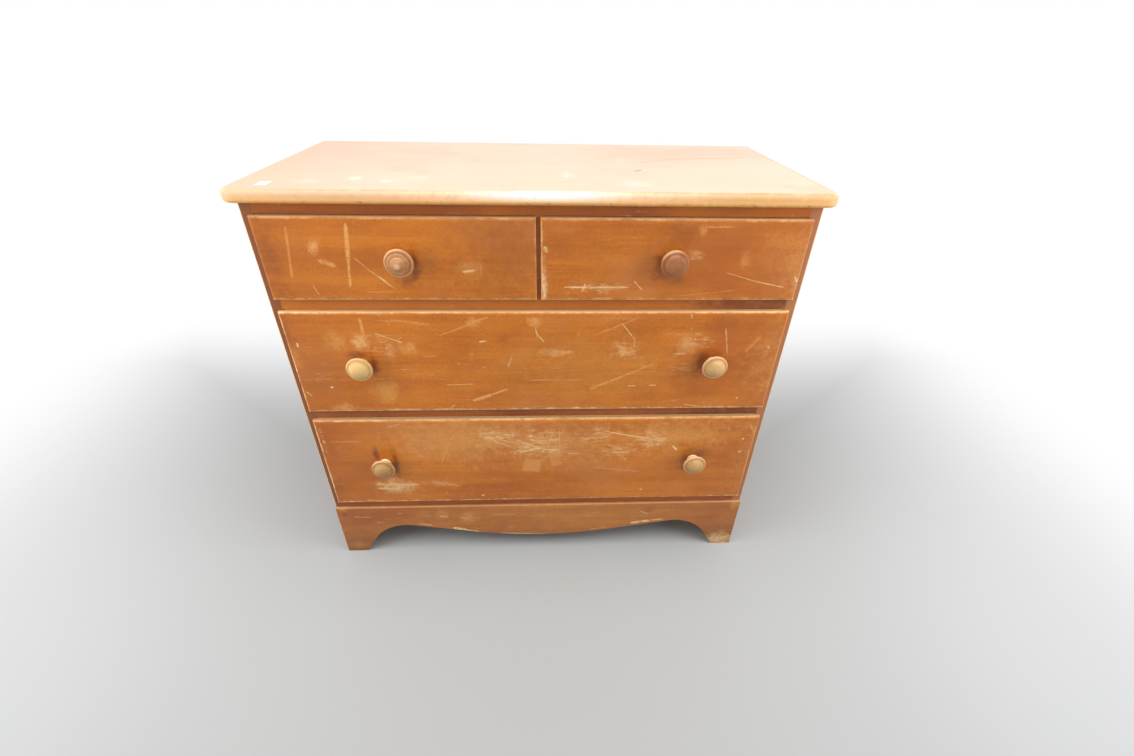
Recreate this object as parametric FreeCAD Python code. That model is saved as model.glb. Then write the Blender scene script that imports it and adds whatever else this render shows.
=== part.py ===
import FreeCAD, Part
import math
import os

# A maple dresser with two short drawers over two long ones.
# The case is two side panels joined by four web frames, under a rounded slab and on a scrolled apron.
# X runs to the right, Y to the back and Z up, from the middle of the floor under the whole dresser.

Vector = FreeCAD.Vector

# Case, in millimetres
case_width = 980.0
case_depth = 455.0
side_thick = 19.5
base_height = 154.0
lower_opening = 247.0
middle_opening = 231.0
upper_opening = 154.0
back_thick = 5.0
back_rabbet = 9.0

# Top slab
slab_thick = 22.0
slab_side_over = 22.5
slab_front_over = 18.0
slab_back_over = 3.0
slab_corner = 26.0
slab_top_round_share = 0.42
slab_under_round_share = 0.24
slab_round_most_share = 0.66

# Web frames: rails across the case, runners and kickers from front to back
rail_thick = 20.0
rail_deep = 60.0
rear_rail_deep = 40.0
tenon_long = 9.0
tenon_thick_share = 0.5
tenon_shoulder_share = 0.15
runner_wide = 30.0
centre_runner_wide = 70.0
tongue_long = 8.0
tongue_thick_share = 0.4
divider_thick = 19.0
stub_long = 7.0
side_guide_high = 14.0
guide_base_wide = 44.0
guide_strip_wide = 20.0
guide_strip_high = 6.0

# Apron and feet
apron_thick = 19.0
apron_proud = 6.0
apron_edge_round = 2.5
apron_foot = 48.0
apron_peak_in = 111.0
apron_peak_height = 102.0
apron_drop_height = 34.5
apron_drop_round_share = 0.44
apron_peak_round_share = 0.54
side_foot = 75.0
side_arch_height = 65.0
side_arch_round_share = 0.9
glue_block = 25.0
corner_block_long = 120.0
corner_block_lift = 8.0
glue_block_shares = (-0.55, 0.0, 0.55)

# Drawer fronts: a lip laps the case at each end, and the core fits between the sides
lip_thick = 10.0
core_thick = 12.0
lip_gap = 0.3
lip_over_side = 7.5
lip_over_divider = 5.75
front_round = 6.0
front_round_most_share = 0.85
front_foot_gap = 1.5
front_head_gap = 1.5

# Drawer boxes
box_clear = 1.5
running_gap = 0.3
drawer_side_thick = 12.0
drawer_back_thick = 12.0
drawer_rear_clear = 15.0
drawer_back_inset = 10.0
drawer_back_drop = 6.0
drawer_head_clear = 6.0
dado_deep = 5.0
bottom_thick = 5.0
bottom_lift = 10.0
groove_deep = 6.0
bottom_rear_inset = 2.0
tail_pitch = 46.0
tail_wide_share = 0.62
tail_root_share = 0.44
tail_edge_share = 0.06
channel_wide = 50.0
channel_lift = 0.5
channel_side_clear = 0.6
channel_top_clear = 1.0

# Knobs: a turned foot, a waisted neck, and a flared head whose rim stands round a domed middle. Each
# place on the profile is a pair of shares, of the radius and of the reach. The neck is an arc from the
# foot through the waist to the throat, and the rim one from the flare round to the lip.
knob_radius = 25.0
knob_reach = 38.0
short_knob_shift = 3.0
long_knob_inset = 125.5
knob_raise = 4.0
knob_foot_shares = (0.50, 0.06)
knob_waist_shares = (0.34, 0.25)
knob_throat_shares = (0.50, 0.42)
knob_flare_shares = (0.94, 0.51)
knob_rim_shares = (1.00, 0.58)
knob_lip_shares = (0.94, 0.65)
knob_dish_shares = (0.80, 0.65)
knob_bead_shares = (0.75, 0.73)

# Screws and their holes
screw_radius = 2.1
screw_clear = 0.3
screw_head_radius = 4.6
screw_head_thick = 2.5
knob_bite_share = 0.5
knob_bore_spare = 2.0
slab_bite_share = 0.55
slab_bore_spare = 1.0
counterbore_share = 0.45
counterbore_clear = 1.0
slab_screw_shares = (-0.8, -0.3, 0.3, 0.8)

# How far a cutting shape runs past what it cuts
overrun = 1.0

# Places worked out from the sizes above
half_case = case_width / 2
inner = half_case - side_thick
face_reach = lip_gap + lip_thick + knob_reach
case_front = (face_reach - case_depth - slab_back_over) / 2
case_back = case_front + case_depth
back_inside = case_back - back_thick
rear_rail_front = back_inside - rear_rail_deep
rail_back = case_front + rail_deep
apron_front = case_front - apron_proud
apron_back = apron_front + apron_thick
bottom_rail_z = base_height
lower_z = bottom_rail_z + rail_thick
lower_rail_z = lower_z + lower_opening
middle_z = lower_rail_z + rail_thick
upper_rail_z = middle_z + middle_opening
upper_z = upper_rail_z + rail_thick
top_rail_z = upper_z + upper_opening
slab_z = top_rail_z + rail_thick
lip_back = case_front - lip_gap
front_face = lip_back - lip_thick
core_back = lip_back + core_thick
drawer_end = back_inside - drawer_rear_clear
half_divider = divider_thick / 2

parts = {}


def block(x0, x1, y0, y1, z0, z1):
    """A board, tenon or pocket between two corners."""
    return Part.makeBox(x1 - x0, y1 - y0, z1 - z0, Vector(x0, y0, z0))


def join(first, *others):
    """One solid from pieces that share faces, with no seams left on it."""
    return first.fuse(list(others)).removeSplitter()


def rounded_outline(corners):
    """A closed wire through corners, each (point, cut-back): an arc tangent to both sides replaces
    the stretch of that length either side of the corner, and a cut-back of zero leaves it sharp."""
    count = len(corners)
    spans = []
    for i in range(count):
        point, cut = corners[i]
        before = (corners[i - 1][0] - point).normalize()
        after = (corners[(i + 1) % count][0] - point).normalize()
        if cut == 0:
            spans.append((point, None, point))
            continue
        half_angle = before.getAngle(after) / 2
        radius = cut * math.tan(half_angle)
        bisector = (before + after).normalize()
        crown = point + bisector * (radius / math.sin(half_angle) - radius)
        spans.append((point + before * cut, crown, point + after * cut))
    edges = []
    for i, (start, crown, end) in enumerate(spans):
        if crown is not None:
            edges.append(Part.Arc(start, crown, end).toShape())
        following = spans[(i + 1) % count][0]
        edges.append(Part.LineSegment(end, following).toShape())
    return Part.Wire(edges)


def board_from(corners, along):
    """A board sawn to a rounded outline."""
    return Part.Face(rounded_outline(corners)).extrude(along)


def rod(radius, start, along):
    """A round bar from a point, along a vector."""
    return Part.makeCylinder(radius, along.Length, start, along)


def edges_where(shape, test):
    """The edges whose two ends both pass a test, and which have two ends."""
    found = []
    for edge in shape.Edges:
        if len(edge.Vertexes) == 2 and all(test(v.Point) for v in edge.Vertexes):
            found.append(edge)
    return found


def near(a, b):
    """Whether two places are the same to within a millionth of the case's width."""
    return abs(a - b) < case_width / 1e6


def tongued(x0, x1, z, y0=rail_back, y1=rear_rail_front):
    """A member from front rail to rear rail, with a tongue along each end."""
    body = block(x0, x1, y0, y1, z, z + rail_thick)
    cheek = rail_thick * (1 - tongue_thick_share) / 2
    tongue = block(x0, x1, y0 - tongue_long, y1 + tongue_long, z + cheek, z + rail_thick - cheek)
    return join(body, tongue)


def rail(y0, y1, z):
    """A rail across the case, with a tenon into each side panel."""
    body = block(-inner, inner, y0, y1, z, z + rail_thick)
    cheek = rail_thick * (1 - tenon_thick_share) / 2
    shoulder = (y1 - y0) * tenon_shoulder_share
    reach = inner + tenon_long
    tenon = block(-reach, reach, y0 + shoulder, y1 - shoulder, z + cheek, z + rail_thick - cheek)
    return join(body, tenon)


def divider():
    """The upright between the short drawers, stub-tenoned into the rails above and below."""
    body = block(-half_divider, half_divider, case_front, rail_back, upper_z, top_rail_z)
    cheek = half_divider * tenon_thick_share
    shoulder = rail_deep * tenon_shoulder_share
    stub = block(
        -cheek, cheek, case_front + shoulder, rail_back - shoulder, upper_z - stub_long, top_rail_z + stub_long
    )
    return join(body, stub)


def slab():
    """The top, with rounded front corners and a soft edge at the front and both ends."""
    half = half_case + slab_side_over
    front = case_front - slab_front_over
    back = case_back + slab_back_over
    corners = [
        (Vector(-half, front, slab_z), slab_corner),
        (Vector(half, front, slab_z), slab_corner),
        (Vector(half, back, slab_z), 0),
        (Vector(-half, back, slab_z), 0),
    ]
    top = board_from(corners, Vector(0, 0, slab_thick))
    widest = slab_corner * slab_round_most_share
    for z, share in ((slab_z + slab_thick, slab_top_round_share), (slab_z, slab_under_round_share)):
        level = edges_where(top, lambda p: near(p.z, z))
        worked = [e for e in level if not all(near(v.Point.y, back) for v in e.Vertexes)]
        top = top.makeFillet(min(slab_thick * share, widest), worked)
    return top


def side_panel(side):
    """A case side on two feet, notched for the apron and rabbeted for the back. side is -1 or 1."""
    outer = side * half_case
    foot = case_front + side_foot
    heel = case_back - side_foot
    bend = side_arch_height * side_arch_round_share
    corners = [
        (Vector(outer, apron_back, 0), 0),
        (Vector(outer, foot, 0), 0),
        (Vector(outer, foot, side_arch_height), bend),
        (Vector(outer, heel, side_arch_height), bend),
        (Vector(outer, heel, 0), 0),
        (Vector(outer, case_back, 0), 0),
        (Vector(outer, case_back, slab_z), 0),
        (Vector(outer, case_front, slab_z), 0),
        (Vector(outer, case_front, base_height), 0),
        (Vector(outer, apron_back, base_height), 0),
    ]
    panel = board_from(corners, Vector(-side * side_thick, 0, 0))
    return panel


def apron():
    """The scrolled board across the front, whose ends are the front faces of the feet."""
    foot_x = half_case - apron_foot
    peak_x = half_case - apron_peak_in
    rise = math.hypot(peak_x, apron_peak_height - apron_drop_height)
    slope = math.hypot(foot_x - peak_x, apron_peak_height)
    peak_cut = slope * apron_peak_round_share
    corners = [
        (Vector(-half_case, apron_front, 0), 0),
        (Vector(-foot_x, apron_front, 0), 0),
        (Vector(-peak_x, apron_front, apron_peak_height), peak_cut),
        (Vector(0, apron_front, apron_drop_height), rise * apron_drop_round_share),
        (Vector(peak_x, apron_front, apron_peak_height), peak_cut),
        (Vector(foot_x, apron_front, 0), 0),
        (Vector(half_case, apron_front, 0), 0),
        (Vector(half_case, apron_front, base_height), 0),
        (Vector(-half_case, apron_front, base_height), 0),
    ]
    board = board_from(corners, Vector(0, apron_thick, 0))
    ledge = edges_where(board, lambda p: near(p.z, base_height) and near(p.y, apron_front))
    return board.makeFillet(apron_edge_round, ledge)


def glue_blocks():
    """Blocks behind the apron: one up each front corner, and three under the bottom rail."""
    y1 = apron_back + glue_block
    blocks = []
    for side in (-1, 1):
        x = sorted((side * inner, side * (inner - glue_block)))
        top = corner_block_lift + corner_block_long
        blocks.append(block(x[0], x[1], apron_back, y1, corner_block_lift, top))
    for share in glue_block_shares:
        x = inner * share
        blocks.append(block(x - glue_block, x + glue_block, apron_back, y1, base_height - glue_block, base_height))
    return Part.makeCompound(blocks)


def slab_screw_places():
    """Where screws come up through the top front and rear rails into the slab."""
    rows = (case_front + rail_deep / 2, rear_rail_front + rear_rail_deep / 2)
    return [(inner * share, y) for y in rows for share in slab_screw_shares]


def slab_screws():
    """The screws that hold the slab, with their heads sunk in the rails."""
    screws = []
    seat = top_rail_z + rail_thick * counterbore_share
    for x, y in slab_screw_places():
        shank = rod(screw_radius, Vector(x, y, seat), Vector(0, 0, slab_z + slab_thick * slab_bite_share - seat))
        head = rod(screw_head_radius, Vector(x, y, seat - screw_head_thick), Vector(0, 0, screw_head_thick))
        screws.append(join(head, shank))
    return Part.makeCompound(screws)


def slab_screw_holes():
    """Counterbored holes in the rails that run on, blind, into the slab."""
    holes = []
    seat = top_rail_z + rail_thick * counterbore_share
    top = slab_z + slab_thick * slab_bite_share + slab_bore_spare
    for x, y in slab_screw_places():
        hole = rod(screw_radius + screw_clear, Vector(x, y, seat), Vector(0, 0, top - seat))
        sink = rod(
            screw_head_radius + counterbore_clear,
            Vector(x, y, top_rail_z - overrun),
            Vector(0, 0, seat - top_rail_z + overrun),
        )
        holes.append(hole.fuse(sink))
    return Part.makeCompound(holes)


def case():
    """Every fixed board of the case."""
    levels = {"top": top_rail_z, "upper": upper_rail_z, "lower": lower_rail_z, "bottom": bottom_rail_z}
    rails = {name: rail(case_front, rail_back, z) for name, z in levels.items()}
    rear_rails = {name: rail(rear_rail_front, back_inside, z) for name, z in levels.items()}
    members = {}
    for side, word in ((-1, "left"), (1, "right")):
        x = sorted((side * inner, side * (inner - runner_wide)))
        members["kicker_" + word] = ("top", tongued(x[0], x[1], top_rail_z))
        members["runner_upper_" + word] = ("upper", tongued(x[0], x[1], upper_rail_z))
        members["runner_middle_" + word] = ("lower", tongued(x[0], x[1], lower_rail_z))
        members["runner_lower_" + word] = ("bottom", tongued(x[0], x[1], bottom_rail_z))
    half = centre_runner_wide / 2
    members["kicker_centre"] = ("top", tongued(-half, half, top_rail_z))
    fence = block(-half_divider, half_divider, rail_back, rear_rail_front, upper_z, upper_z + side_guide_high)
    members["runner_upper_centre"] = ("upper", join(tongued(-half, half, upper_rail_z), fence))
    half = guide_base_wide / 2
    strip = guide_strip_wide / 2
    for word, level, z in (("middle", "lower", middle_z), ("lower", "bottom", lower_z)):
        ridge = block(-strip, strip, rail_back, rear_rail_front, z, z + guide_strip_high)
        members["centre_guide_" + word] = (level, join(tongued(-half, half, z - rail_thick), ridge))
    upright = divider()
    for name in levels:
        ends = [shape for level, shape in members.values() if level == name]
        rails[name] = rails[name].cut(ends)
        rear_rails[name] = rear_rails[name].cut(ends)
    for name in ("top", "upper"):
        rails[name] = rails[name].cut(upright)
    holes = slab_screw_holes()
    rails["top"] = rails["top"].cut(holes)
    rear_rails["top"] = rear_rails["top"].cut(holes)
    for side, word in ((-1, "left"), (1, "right")):
        x = sorted((side * (inner - overrun), side * (inner + back_rabbet)))
        rabbet = block(x[0], x[1], back_inside, case_back + overrun, base_height, slab_z + overrun)
        panel = side_panel(side).cut(rabbet)
        tenoned = [rail(case_front, rail_back, z) for z in levels.values()]
        tenoned += [rail(rear_rail_front, back_inside, z) for z in levels.values()]
        parts["side_panel_" + word] = panel.cut(tenoned)
    parts["top_slab"] = slab().cut(holes)
    parts["base_apron"] = apron()
    for name in levels:
        parts[name + "_rail"] = rails[name]
        parts["rear_rail_" + name] = rear_rails[name]
    parts["drawer_divider"] = upright
    reach = inner + back_rabbet
    parts["back_panel"] = block(-reach, reach, back_inside, case_back, base_height, slab_z)
    for name, (level, shape) in members.items():
        parts[name] = shape
    parts["base_glue_blocks"] = glue_blocks()
    parts["slab_screws"] = slab_screws()


def knob():
    """A turned knob, its foot on the origin and its axis towards -Y, bored for the screw."""

    def at(shares):
        return Vector(knob_radius * shares[0], -knob_reach * shares[1], 0)

    hub, heel, foot = at((0, 0)), at((knob_foot_shares[0], 0)), at(knob_foot_shares)
    throat, flare, lip = at(knob_throat_shares), at(knob_flare_shares), at(knob_lip_shares)
    dish, bead, nose = at(knob_dish_shares), at(knob_bead_shares), at((0, 1))
    dome_rise = bead.y - nose.y
    dome_radius = (bead.x ** 2 + dome_rise ** 2) / (2 * dome_rise)
    half_angle = math.asin(bead.x / dome_radius) / 2
    crown = nose + Vector(dome_radius * math.sin(half_angle), dome_radius * (1 - math.cos(half_angle)), 0)
    profile = [
        Part.makeLine(hub, heel),
        Part.makeLine(heel, foot),
        Part.Arc(foot, at(knob_waist_shares), throat).toShape(),
        Part.makeLine(throat, flare),
        Part.Arc(flare, at(knob_rim_shares), lip).toShape(),
        Part.makeLine(lip, dish),
        Part.makeLine(dish, bead),
        Part.Arc(bead, crown, nose).toShape(),
        Part.makeLine(nose, hub),
    ]
    turned = Part.Face(Part.Wire(profile)).revolve(hub, Vector(0, 1, 0), 360)
    bore = knob_reach * knob_bite_share + knob_bore_spare
    return turned.cut(rod(screw_radius + screw_clear, Vector(0, overrun, 0), Vector(0, -bore - overrun, 0)))


def knob_screw():
    """The screw from inside the drawer, through the front and into the knob's bore."""
    seat = core_thick + lip_thick
    shank = rod(screw_radius, Vector(0, seat, 0), Vector(0, -seat - knob_reach * knob_bite_share, 0))
    head = rod(screw_head_radius, Vector(0, seat, 0), Vector(0, screw_head_thick, 0))
    return join(shank, head)


def tails(x, z0, z1):
    """The dovetails on the front end of a drawer side that begins at x."""
    count = max(2, round((z1 - z0) / tail_pitch))
    edge = (z1 - z0) * tail_edge_share
    pitch = (z1 - z0 - 2 * edge) / count
    tip, root = pitch * tail_wide_share / 2, pitch * tail_root_share / 2
    shapes = []
    for i in range(count):
        z = z0 + edge + pitch * (i + 1 / 2)
        outline = (
            Vector(x, core_back, z - root),
            Vector(x, core_back, z + root),
            Vector(x, lip_back, z + tip),
            Vector(x, lip_back, z - tip),
        )
        face = Part.Face(Part.makePolygon(outline + outline[:1]))
        shapes.append(face.extrude(Vector(drawer_side_thick, 0, 0)))
    return shapes


def drawer(name, opening, laps, z0, opening_height, knobs, guided):
    """One drawer in an opening that spans the pair of X places opening, from z0 up. laps is how far
    the front passes the opening at each end, and knobs maps each knob's name to its X place."""
    left, right = opening[0] + box_clear, opening[1] - box_clear
    front_z = (z0 + front_foot_gap, z0 + opening_height - front_head_gap)
    side_z = (z0 + running_gap, z0 + opening_height - drawer_head_clear)
    lip = block(opening[0] - laps[0], opening[1] + laps[1], front_face, lip_back, *front_z)
    rim = edges_where(lip, lambda p: near(p.y, front_face))
    lip = lip.makeFillet(min(front_round, lip_thick * front_round_most_share), rim)
    core = block(left, right, lip_back, core_back, *front_z)
    front = join(lip, core)

    panel_z = side_z[0] + bottom_lift
    slot = drawer_side_thick - groove_deep
    panel = block(
        left + slot,
        right - slot,
        core_back - groove_deep,
        drawer_end - bottom_rear_inset,
        panel_z,
        panel_z + bottom_thick,
    )
    groove = panel.fuse(
        block(left + slot, right - slot, core_back, drawer_end + overrun, panel_z, panel_z + bottom_thick)
    )
    board_y = drawer_end - drawer_back_inset
    back = block(
        left + drawer_side_thick - dado_deep,
        right - drawer_side_thick + dado_deep,
        board_y - drawer_back_thick,
        board_y,
        panel_z + bottom_thick,
        side_z[1] - drawer_back_drop,
    )
    for x, word in ((left, "left"), (right - drawer_side_thick, "right")):
        joint = tails(x, front_z[0], side_z[1])
        side = join(block(x, x + drawer_side_thick, core_back, drawer_end, *side_z), *joint)
        front = front.cut(joint)
        parts[name + "_side_" + word] = side.cut([groove, back])
    front = front.cut(groove)

    height = (front_z[0] + front_z[1]) / 2 + knob_raise
    through = lip_thick + core_thick
    for label, x in knobs.items():
        hole = rod(
            screw_radius + screw_clear, Vector(x, front_face - overrun, height), Vector(0, through + overrun * 2, 0)
        )
        front = front.cut(hole)
        parts[name + "_" + label] = knob().translated(Vector(x, front_face, height))
    screws = [knob_screw().translated(Vector(x, front_face, height)) for x in knobs.values()]
    if len(screws) == 1:
        parts[name + "_knob_screw"] = screws[0]
    else:
        parts[name + "_knob_screws"] = Part.makeCompound(screws)
    parts[name + "_front"] = front
    parts[name + "_back"] = back
    parts[name + "_bottom"] = panel
    if guided:
        parts[name + "_guide"] = channel(z0, panel_z)


def channel(z0, panel_z):
    """The grooved strip under a long drawer that straddles the ridge in the middle of the case."""
    half = channel_wide / 2
    slot = guide_strip_wide / 2 + channel_side_clear
    strip = block(-half, half, core_back, drawer_end - bottom_rear_inset, z0 + channel_lift, panel_z)
    ceiling = z0 + guide_strip_high + channel_top_clear
    return strip.cut(block(-slot, slot, core_back - overrun, drawer_end + overrun, z0 - overrun, ceiling))


case()
short_middle = (inner + half_divider) / 2 - short_knob_shift
short_laps = (lip_over_side, lip_over_divider)
left_knob, right_knob = {"knob": -short_middle}, {"knob": short_middle}
drawer("upper_left", (-inner, -half_divider), short_laps, upper_z, upper_opening, left_knob, False)
drawer("upper_right", (half_divider, inner), short_laps[::-1], upper_z, upper_opening, right_knob, False)
long_laps = (lip_over_side, lip_over_side)
knob_pair = {"knob_left": long_knob_inset - inner, "knob_right": inner - long_knob_inset}
drawer("middle", (-inner, inner), long_laps, middle_z, middle_opening, knob_pair, True)
drawer("lower", (-inner, inner), long_laps, lower_z, lower_opening, knob_pair, True)

os.makedirs("parts", exist_ok=True)
for node, shape in parts.items():
    shape.exportStep("parts/" + node + ".step")
print(len(parts), "nodes written")
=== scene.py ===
import math
from functools import reduce

import bpy
from mathutils import Matrix, Vector


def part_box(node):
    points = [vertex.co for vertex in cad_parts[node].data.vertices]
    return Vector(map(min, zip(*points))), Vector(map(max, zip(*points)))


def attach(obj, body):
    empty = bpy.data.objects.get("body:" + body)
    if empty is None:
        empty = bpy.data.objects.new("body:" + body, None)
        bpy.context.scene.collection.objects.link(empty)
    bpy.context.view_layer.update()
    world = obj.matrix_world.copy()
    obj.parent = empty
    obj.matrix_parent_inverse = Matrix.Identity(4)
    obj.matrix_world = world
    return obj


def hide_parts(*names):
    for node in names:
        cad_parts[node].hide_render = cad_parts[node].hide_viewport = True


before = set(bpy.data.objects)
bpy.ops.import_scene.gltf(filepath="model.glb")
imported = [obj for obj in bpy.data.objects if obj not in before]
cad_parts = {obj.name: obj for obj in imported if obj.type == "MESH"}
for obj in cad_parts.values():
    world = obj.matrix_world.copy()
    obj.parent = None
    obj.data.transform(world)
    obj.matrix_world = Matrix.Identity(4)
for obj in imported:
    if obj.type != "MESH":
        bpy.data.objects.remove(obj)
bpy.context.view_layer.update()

# Camera, as the photograph was taken: a wide lens, a little above the slab, looking down.
IMAGE_WIDTH, IMAGE_HEIGHT = 1134, 756
FOCAL_PIXELS = 512.35
SENSOR_WIDTH = 36.0
CAMERA_YAW = math.radians(3.0368)
CAMERA_PITCH = math.radians(33.2002)
CAMERA_ROLL = math.radians(1.2818)
CAMERA_X, CAMERA_HEIGHT = 0.0086, 1.0917
CAMERA_TO_CASE = 0.8771

CASE_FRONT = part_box("top_rail")[0].y
CAMERA_PLACE = Vector((CAMERA_X, CASE_FRONT - CAMERA_TO_CASE, CAMERA_HEIGHT))


def srgb(red, green, blue):
    """A colour as seen on screen, 0 to 255, turned into the linear one that a material takes."""
    linear = []
    for value in (red, green, blue):
        share = value / 255
        linear.append(share / 12.92 if share <= 0.04045 else ((share + 0.055) / 1.055) ** 2.4)
    return (*linear, 1.0)


# The orange-brown stain, what darkens it, partly painted shade and shadow, and the wood where it is
# rubbed thin, worn off or was never laid
STAIN_PALE = srgb(202, 119, 34)
STAIN_DEEP = srgb(168, 90, 20)
STAIN_HAZE = srgb(184, 116, 62)
STAIN_RED = srgb(152, 74, 24)
STAIN_GOLD = srgb(196, 138, 62)
STAIN_SHADE = srgb(132, 66, 26)
UMBER_AND_SHADE = srgb(96, 44, 18)
SMUDGE_AND_SHADOW = srgb(112, 58, 26)
GRIME = srgb(104, 74, 46)
RUBBED = srgb(220, 158, 90)
WORN_CREAM = srgb(250, 219, 164)
BARE_PALE = srgb(226, 192, 144)
BARE_DEEP = srgb(196, 154, 104)

# The case's tones, the rails' partly darkened as painted shade, and the painted shade on the upward
# edges of its boards
SIDE_EDGE = srgb(120, 70, 38)
SIDE_EDGE_PALE = srgb(168, 110, 70)
RAIL_PALE = srgb(182, 104, 38)
LOW_RAIL_PALE = srgb(170, 94, 38)
LOW_RAIL_DEEP = srgb(118, 58, 24)
APRON_PALE = srgb(191, 122, 56)
APRON_DEEP = srgb(160, 97, 41)
LEDGE_SHADE_TAN = srgb(184, 138, 94)
LEDGE_SHADE_DEEP = srgb(146, 108, 70)
APRON_LEDGE_SHADE = srgb(174, 126, 90)

# The slab's top, its pale tones partly a painted sheen, and its rounded edge with a painted highlight
TOP_PALE = srgb(250, 210, 179)
TOP_DEEP = srgb(243, 191, 154)
TOP_ROSE = srgb(234, 170, 126)
TOP_RING = srgb(206, 128, 84)
SPOT_PALE = srgb(255, 241, 224)
LABEL_PAPER = srgb(250, 246, 238)
EDGE_PEACH = srgb(250, 197, 156)
EDGE_SAND = srgb(206, 166, 126)
EDGE_HONEY = srgb(204, 158, 102)
EDGE_HIGHLIGHT = srgb(255, 244, 230)
EDGE_TAN = srgb(202, 156, 114)
EDGE_GOLD = srgb(226, 166, 90)
EDGE_OLIVE = srgb(190, 142, 66)

# Knobs, screws and floor
RIM_HIGHLIGHT = srgb(226, 178, 132)
COLLAR_PALE = srgb(232, 200, 152)
STEEL_PALE = srgb(176, 174, 168)
STEEL_DEEP = srgb(128, 124, 116)
FLOOR_PALE = srgb(166, 168, 168)


# Camera geometry


def camera_axes():
    """The camera's right, up and forward directions."""
    level_share = math.cos(CAMERA_PITCH)
    forward = Vector(
        (
            math.sin(CAMERA_YAW) * level_share,
            math.cos(CAMERA_YAW) * level_share,
            -math.sin(CAMERA_PITCH),
        )
    )
    level = Vector((math.cos(CAMERA_YAW), -math.sin(CAMERA_YAW), 0.0))
    upright = level.cross(forward)
    right = level * math.cos(CAMERA_ROLL) + upright * math.sin(CAMERA_ROLL)
    up = upright * math.cos(CAMERA_ROLL) - level * math.sin(CAMERA_ROLL)
    return right, up, forward


def seen_at(pixel, axis, level):
    """Where the line of sight through a pixel of the photograph meets the plane axis = level."""
    right, up, forward = camera_axes()
    across = (pixel[0] - IMAGE_WIDTH / 2) / FOCAL_PIXELS
    down = (pixel[1] - IMAGE_HEIGHT / 2) / FOCAL_PIXELS
    sight = forward + right * across - up * down
    return CAMERA_PLACE + sight * ((level - CAMERA_PLACE[axis]) / sight[axis])


def add_camera():
    right, up, forward = camera_axes()
    camera = bpy.data.cameras.new("photo_camera")
    camera.sensor_width = SENSOR_WIDTH
    camera.lens = SENSOR_WIDTH * FOCAL_PIXELS / IMAGE_WIDTH
    holder = bpy.data.objects.new("photo_camera", camera)
    turn = Matrix((right, up, -forward)).transposed().to_4x4()
    holder.matrix_world = Matrix.Translation(CAMERA_PLACE) @ turn
    bpy.context.scene.collection.objects.link(holder)
    bpy.context.scene.camera = holder


# Shader node helpers

ORIGIN = (0.0, 0.0, 0.0)


def node(tree, kind, links, **settings):
    """A new node with its settings, and its inputs linked to sockets or set to plain values."""
    made = tree.nodes.new(kind)
    for name, value in settings.items():
        setattr(made, name, value)
    for name, source in links.items():
        if isinstance(source, bpy.types.NodeSocket):
            tree.links.new(source, made.inputs[name])
        else:
            made.inputs[name].default_value = source
    return made


def maths(tree, operation, *values):
    return node(tree, "ShaderNodeMath", dict(enumerate(values)), operation=operation).outputs[0]


def joined(tree, operation, values):
    """Several values made one, by the same operation again and again."""
    return reduce(lambda so_far, value: maths(tree, operation, so_far, value), values)


def apart(tree, value, middle):
    """How far value is from middle, on either side."""
    return maths(tree, "ABSOLUTE", maths(tree, "SUBTRACT", value, middle))


def vector_maths(tree, operation, *values):
    made = node(tree, "ShaderNodeVectorMath", dict(enumerate(values)), operation=operation)
    return made.outputs["Value" if operation in ("DOT_PRODUCT", "LENGTH") else "Vector"]


def split(tree, place):
    """The X, Y and Z of a place."""
    return node(tree, "ShaderNodeSeparateXYZ", {0: place}).outputs


def ranged(tree, value, low, high, bottom=0.0, top=1.0):
    """value eased from bottom, at low, to top, at high."""
    links = {"Value": value, "From Min": low, "From Max": high, "To Min": bottom, "To Max": top}
    return node(tree, "ShaderNodeMapRange", links, interpolation_type="SMOOTHSTEP").outputs[0]


def blend(tree, share, first, second):
    """first where share is 0, second where it is 1."""
    return node(tree, "ShaderNodeMix", {0: share, 6: first, 7: second}, data_type="RGBA").outputs[2]


def noise(tree, place, scale, detail=4.0, rough=0.55):
    links = {"Vector": place, "Scale": scale, "Detail": detail, "Roughness": rough}
    return node(tree, "ShaderNodeTexNoise", links).outputs[0]


def stretched(tree, place, scale, turn=ORIGIN, shift=0.0):
    """place scaled, turned and then moved by shift along each axis, for a noise to be read at."""
    shift = shift if isinstance(shift, tuple) else (shift, shift, shift)
    links = {"Vector": place, "Scale": scale, "Rotation": turn, "Location": shift}
    return node(tree, "ShaderNodeMapping", links).outputs[0]


def new_group(name, inputs, outputs):
    """An empty node group, its input sockets by name, and its output sockets by name. An input's kind
    follows from its plain value: a number, a place or a colour."""
    tree = bpy.data.node_groups.new(name, "ShaderNodeTree")
    for label, value in inputs.items():
        kind = "Float" if isinstance(value, float) else {3: "Vector", 4: "Color"}[len(value)]
        socket = tree.interface.new_socket(label, in_out="INPUT", socket_type="NodeSocket" + kind)
        socket.default_value = value
    for label, kind in outputs.items():
        tree.interface.new_socket(label, in_out="OUTPUT", socket_type="NodeSocket" + kind)
    return tree, tree.nodes.new("NodeGroupInput").outputs, tree.nodes.new("NodeGroupOutput").inputs


def use(tree, group, links):
    """The outputs of a node group, placed with these inputs."""
    return node(tree, "ShaderNodeGroup", links, node_tree=group).outputs


def own_place(tree):
    """A point's place on its own piece, which at rest is its place in the shared frame."""
    return node(tree, "ShaderNodeTexCoord", {}).outputs["Object"]


def new_material(name):
    """A new material, its node tree and its shader."""
    material = bpy.data.materials.new(name)
    material.use_nodes = True
    tree = material.node_tree
    return material, tree, tree.nodes["Principled BSDF"]


# Shared effects


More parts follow.
